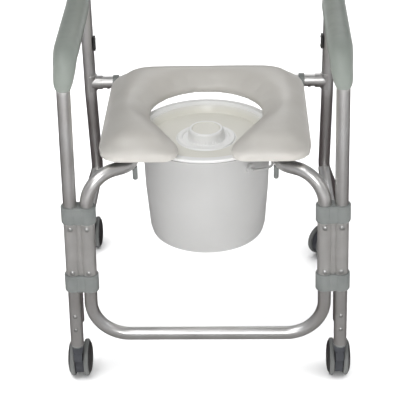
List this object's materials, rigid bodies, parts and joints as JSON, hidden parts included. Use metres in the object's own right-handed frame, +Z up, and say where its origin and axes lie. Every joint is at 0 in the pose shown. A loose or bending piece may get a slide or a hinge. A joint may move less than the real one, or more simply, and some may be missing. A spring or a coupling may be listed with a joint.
{
  "type": "commode chair",
  "caption": "Wheeled commode chair: bent tube frame with arms and push bar, horseshoe padded seat that hinges up, lidded pail that slides out, twin-wheel casters.",
  "frame": {"origin": "on the floor below the middle of the chair", "axes": "+Z up, front of the chair towards -Y, +X to the right as seen from the front"},
  "size_m": [0.6124, 0.5878, 0.9427],
  "materials": {
    "tube_aluminium": "satin anodised, fine draw lines",
    "sleeve_aluminium": "satin",
    "cast_fitting": "fine cast",
    "grey_plastic": "moulded, fine texture",
    "bright_steel": "bright zinc",
    "grip_foam": "smooth self-skinned foam",
    "vinyl": "smooth vinyl, slightly glossy",
    "board": "painted board",
    "black_plastic": "moulded",
    "pail_white": "glossy polypropylene",
    "lid_cream": "glossy polypropylene",
    "caster_slate": "moulded nylon",
    "wheel_rubber": "non-marking grey rubber"
  },
  "bodies": {
    "frame": {"back_frame_tube": "tube_aluminium", "backrest_board": "board", "backrest_pad": "vinyl", "backrest_screws": "bright_steel", "belt_anchor_rivets": "bright_steel", "belt_anchors": "black_plastic", "caster_sockets": "grey_plastic", "crossbar_bushes": "grey_plastic", "crossbar_rivets": "bright_steel", "crossbar_saddles": "cast_fitting", "front_frame_tube": "tube_aluminium", "left_arm_clamp": "cast_fitting", "left_arm_pad": "grip_foam", "left_arm_tube": "tube_aluminium", "left_lower_collar": "grey_plastic", "left_side_rail": "tube_aluminium", "left_sleeve": "sleeve_aluminium", "left_upper_collar": "grey_plastic", "leg_rivets": "bright_steel", "rail_pegs": "grey_plastic", "rear_crossbar": "tube_aluminium", "right_arm_clamp": "cast_fitting", "right_arm_pad": "grip_foam", "right_arm_tube": "tube_aluminium", "right_lower_collar": "grey_plastic", "right_side_rail": "tube_aluminium", "right_sleeve": "sleeve_aluminium", "right_upper_collar": "grey_plastic", "sleeve_rivets": "bright_steel"},
    "seat": {"left_hinge_clip": "grey_plastic", "right_hinge_clip": "grey_plastic", "seat_board": "board", "seat_buffers": "grey_plastic", "seat_pad": "vinyl", "seat_screws": "bright_steel"},
    "pail": {"pail": "pail_white"},
    "lid": {"pail_lid": "lid_cream", "lid_knob": "lid_cream"},
    "bail": {"bail_handle": "pail_white"},
    "front_left_swivel": {"front_left_axle": "bright_steel", "front_left_caster_body": "caster_slate", "front_left_caster_stem": "bright_steel"},
    "front_left_wheel_a": {"front_left_wheel_a": "wheel_rubber"},
    "front_left_wheel_b": {"front_left_wheel_b": "wheel_rubber"},
    "front_right_swivel": {"front_right_axle": "bright_steel", "front_right_caster_body": "caster_slate", "front_right_caster_stem": "bright_steel"},
    "front_right_wheel_a": {"front_right_wheel_a": "wheel_rubber"},
    "front_right_wheel_b": {"front_right_wheel_b": "wheel_rubber"},
    "rear_left_swivel": {"rear_left_axle": "bright_steel", "rear_left_caster_body": "caster_slate", "rear_left_caster_stem": "bright_steel"},
    "rear_left_wheel_a": {"rear_left_wheel_a": "wheel_rubber"},
    "rear_left_wheel_b": {"rear_left_wheel_b": "wheel_rubber"},
    "rear_right_swivel": {"rear_right_axle": "bright_steel", "rear_right_caster_body": "caster_slate", "rear_right_caster_stem": "bright_steel"},
    "rear_right_wheel_a": {"rear_right_wheel_a": "wheel_rubber"},
    "rear_right_wheel_b": {"rear_right_wheel_b": "wheel_rubber"}
  },
  "joints": [
    {"name": "seat_hinge", "type": "hinge", "parent": "frame", "child": "seat", "pos_m": [0, 0.163, 0.467], "axis": [-1, 0, 0], "range_deg": [0, 66]},
    {"name": "pail_slide", "type": "slide", "parent": "frame", "child": "pail", "axis": [0, -1, 0], "range_m": [0, 0.3]},
    {"name": "lid_turn", "type": "hinge", "parent": "pail", "child": "lid", "pos_m": [0, -0.1156, 0.4905], "axis": [0, 0, 1], "continuous": true},
    {"name": "bail_swing", "type": "hinge", "parent": "pail", "child": "bail", "pos_m": [0, -0.1156, 0.451], "axis": [0.6691, -0.7431, 0], "range_deg": [0, 19]},
    {"name": "front_left_swivel", "type": "hinge", "parent": "frame", "child": "front_left_swivel", "pos_m": [-0.26162, -0.2716, 0.09], "axis": [0, 0, 1], "continuous": true},
    {"name": "front_left_wheel_a_spin", "type": "hinge", "parent": "front_left_swivel", "child": "front_left_wheel_a", "pos_m": [-0.26162, -0.2436, 0.0375], "axis": [-1, 0, 0], "continuous": true},
    {"name": "front_left_wheel_b_spin", "type": "hinge", "parent": "front_left_swivel", "child": "front_left_wheel_b", "pos_m": [-0.26162, -0.2436, 0.0375], "axis": [-1, 0, 0], "continuous": true},
    {"name": "front_right_swivel", "type": "hinge", "parent": "frame", "child": "front_right_swivel", "pos_m": [0.26162, -0.2716, 0.09], "axis": [0, 0, 1], "continuous": true},
    {"name": "front_right_wheel_a_spin", "type": "hinge", "parent": "front_right_swivel", "child": "front_right_wheel_a", "pos_m": [0.26162, -0.2436, 0.0375], "axis": [-1, 0, 0], "continuous": true},
    {"name": "front_right_wheel_b_spin", "type": "hinge", "parent": "front_right_swivel", "child": "front_right_wheel_b", "pos_m": [0.26162, -0.2436, 0.0375], "axis": [-1, 0, 0], "continuous": true},
    {"name": "rear_left_swivel", "type": "hinge", "parent": "frame", "child": "rear_left_swivel", "pos_m": [-0.286, 0.2284, 0.09], "axis": [0, 0, 1], "continuous": true},
    {"name": "rear_left_wheel_a_spin", "type": "hinge", "parent": "rear_left_swivel", "child": "rear_left_wheel_a", "pos_m": [-0.286, 0.2564, 0.0375], "axis": [-1, 0, 0], "continuous": true},
    {"name": "rear_left_wheel_b_spin", "type": "hinge", "parent": "rear_left_swivel", "child": "rear_left_wheel_b", "pos_m": [-0.286, 0.2564, 0.0375], "axis": [-1, 0, 0], "continuous": true},
    {"name": "rear_right_swivel", "type": "hinge", "parent": "frame", "child": "rear_right_swivel", "pos_m": [0.286, 0.2284, 0.09], "axis": [0, 0, 1], "continuous": true},
    {"name": "rear_right_wheel_a_spin", "type": "hinge", "parent": "rear_right_swivel", "child": "rear_right_wheel_a", "pos_m": [0.26394, 0.21116, 0.0375], "axis": [0.6157, -0.788, 0], "continuous": true},
    {"name": "rear_right_wheel_b_spin", "type": "hinge", "parent": "rear_right_swivel", "child": "rear_right_wheel_b", "pos_m": [0.26394, 0.21116, 0.0375], "axis": [0.6157, -0.788, 0], "continuous": true}
  ]
}
